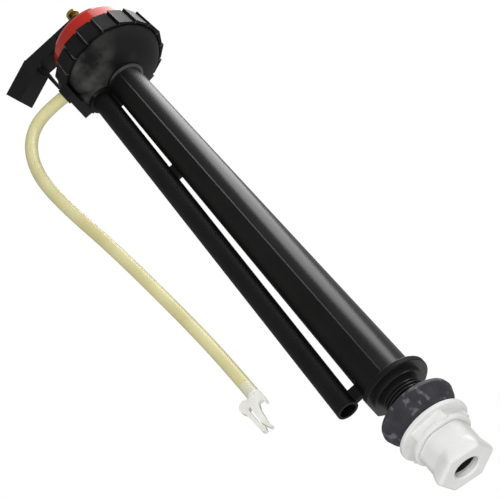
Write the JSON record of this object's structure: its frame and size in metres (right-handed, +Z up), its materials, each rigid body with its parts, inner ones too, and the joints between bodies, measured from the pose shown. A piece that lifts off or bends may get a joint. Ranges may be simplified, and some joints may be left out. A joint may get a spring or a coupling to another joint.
{
  "type": "toilet fill valve",
  "caption": "Float-lever toilet tank fill valve: tall riser with hush tube, diaphragm head under a ring nut, pivoting lever, refill tube with clip, and shank nuts.",
  "frame": {"origin": "on the riser's axis at the underside of the mounting flange", "axes": "+Z up the riser towards the valve head; -X towards the float lever, hush tube and refill tube; -Y towards the side that carries the refill outlet"},
  "size_m": [0.1055, 0.0642, 0.3793],
  "materials": {
    "body_black": "satin injection moulding",
    "strainer_white": "matt",
    "seat_brass": "turned",
    "seal_rubber": "matt",
    "diaphragm_rubber": "matt",
    "disc_plastic": "matt",
    "plunger_plastic": "matt",
    "bonnet_red": "glossy moulding",
    "bracket_black": "satin",
    "screw_steel": "plated",
    "lever_black": "satin",
    "insert_brass": "turned",
    "pin_black": "plain",
    "screw_brass": "turned, polished",
    "ring_nut_black": "satin",
    "washer_rubber": "matt, slightly dusty",
    "lock_nut_white": "satin white",
    "coupling_nut_white": "satin white",
    "friction_ring_plastic": "matt",
    "cone_rubber": "matt",
    "nipple_black": "satin",
    "tube_pale": "soft translucent vinyl",
    "clip_white": "milky nylon"
  },
  "bodies": {
    "valve_body": {"valve_body": "body_black", "inlet_strainer": "strainer_white", "valve_seat": "seat_brass", "seat_o_ring": "seal_rubber", "diaphragm": "diaphragm_rubber", "refill_nipple": "nipple_black", "refill_tube": "tube_pale", "refill_clip": "clip_white"},
    "bonnet": {"bonnet": "bonnet_red", "lever_bracket": "bracket_black", "bracket_screws": "screw_steel", "lever_pin": "pin_black"},
    "lever": {"lever": "lever_black", "rod_insert": "insert_brass"},
    "adjusting_screw": {"adjusting_screw": "screw_brass"},
    "plunger": {"plunger": "plunger_plastic"},
    "diaphragm_disc": {"diaphragm_disc": "disc_plastic"},
    "ring_nut": {"ring_nut": "ring_nut_black"},
    "shank_washer": {"shank_washer": "washer_rubber"},
    "lock_nut": {"lock_nut": "lock_nut_white"},
    "cone_washer": {"cone_washer": "cone_rubber", "friction_ring": "friction_ring_plastic"},
    "coupling_nut": {"coupling_nut": "coupling_nut_white"}
  },
  "joints": [
    {"name": "bonnet_lift", "type": "slide", "parent": "valve_body", "child": "bonnet", "axis": [0, 0, 1], "range_m": [0, 0.009]},
    {"name": "ring_nut_turn", "type": "hinge", "parent": "bonnet", "child": "ring_nut", "pos_m": [0, 0, 0.2766], "axis": [0, 0, 1], "range_deg": [0, 1080]},
    {"name": "lever_pivot", "type": "hinge", "parent": "bonnet", "child": "lever", "pos_m": [-0.013, 0, 0.3076], "axis": [0, 1, 0], "range_deg": [-7.5, 0]},
    {"name": "plunger_lift", "type": "slide", "parent": "bonnet", "child": "plunger", "axis": [0, 0, 1], "range_m": [0, 0.0018]},
    {"name": "diaphragm_lift", "type": "slide", "parent": "valve_body", "child": "diaphragm_disc", "axis": [0, 0, 1], "range_m": [0, 0.0018], "deforming": ["diaphragm"]},
    {"name": "adjusting_screw_turn", "type": "hinge", "parent": "lever", "child": "adjusting_screw", "pos_m": [0.0018, 0, 0.31], "axis": [0, 0, 1], "range_deg": [-360, 360]},
    {"name": "shank_washer_travel", "type": "slide", "parent": "valve_body", "child": "shank_washer", "axis": [0, 0, 1], "range_m": [0, 0.0144]},
    {"name": "lock_nut_turn", "type": "hinge", "parent": "shank_washer", "child": "lock_nut", "pos_m": [0, 0, -0.034], "axis": [0, 0, 1], "range_deg": [0, 2855]},
    {"name": "cone_washer_travel", "type": "slide", "parent": "valve_body", "child": "cone_washer", "axis": [0, 0, 1], "range_m": [-0.012, 0]},
    {"name": "coupling_nut_turn", "type": "hinge", "parent": "cone_washer", "child": "coupling_nut", "pos_m": [0, 0, -0.048], "axis": [0, 0, 1], "range_deg": [-2376, 0]}
  ],
  "couplings": [
    {"joint": "bonnet_lift", "follows": "ring_nut_turn", "m_per_rad": 0.00047746},
    {"joint": "plunger_lift", "follows": "lever_pivot", "m_per_rad": -0.0137},
    {"joint": "diaphragm_lift", "follows": "lever_pivot", "m_per_rad": -0.0137},
    {"joint": "shank_washer_travel", "follows": "lock_nut_turn", "m_per_rad": 0.00028875},
    {"joint": "cone_washer_travel", "follows": "coupling_nut_turn", "m_per_rad": 0.00028875}
  ]
}
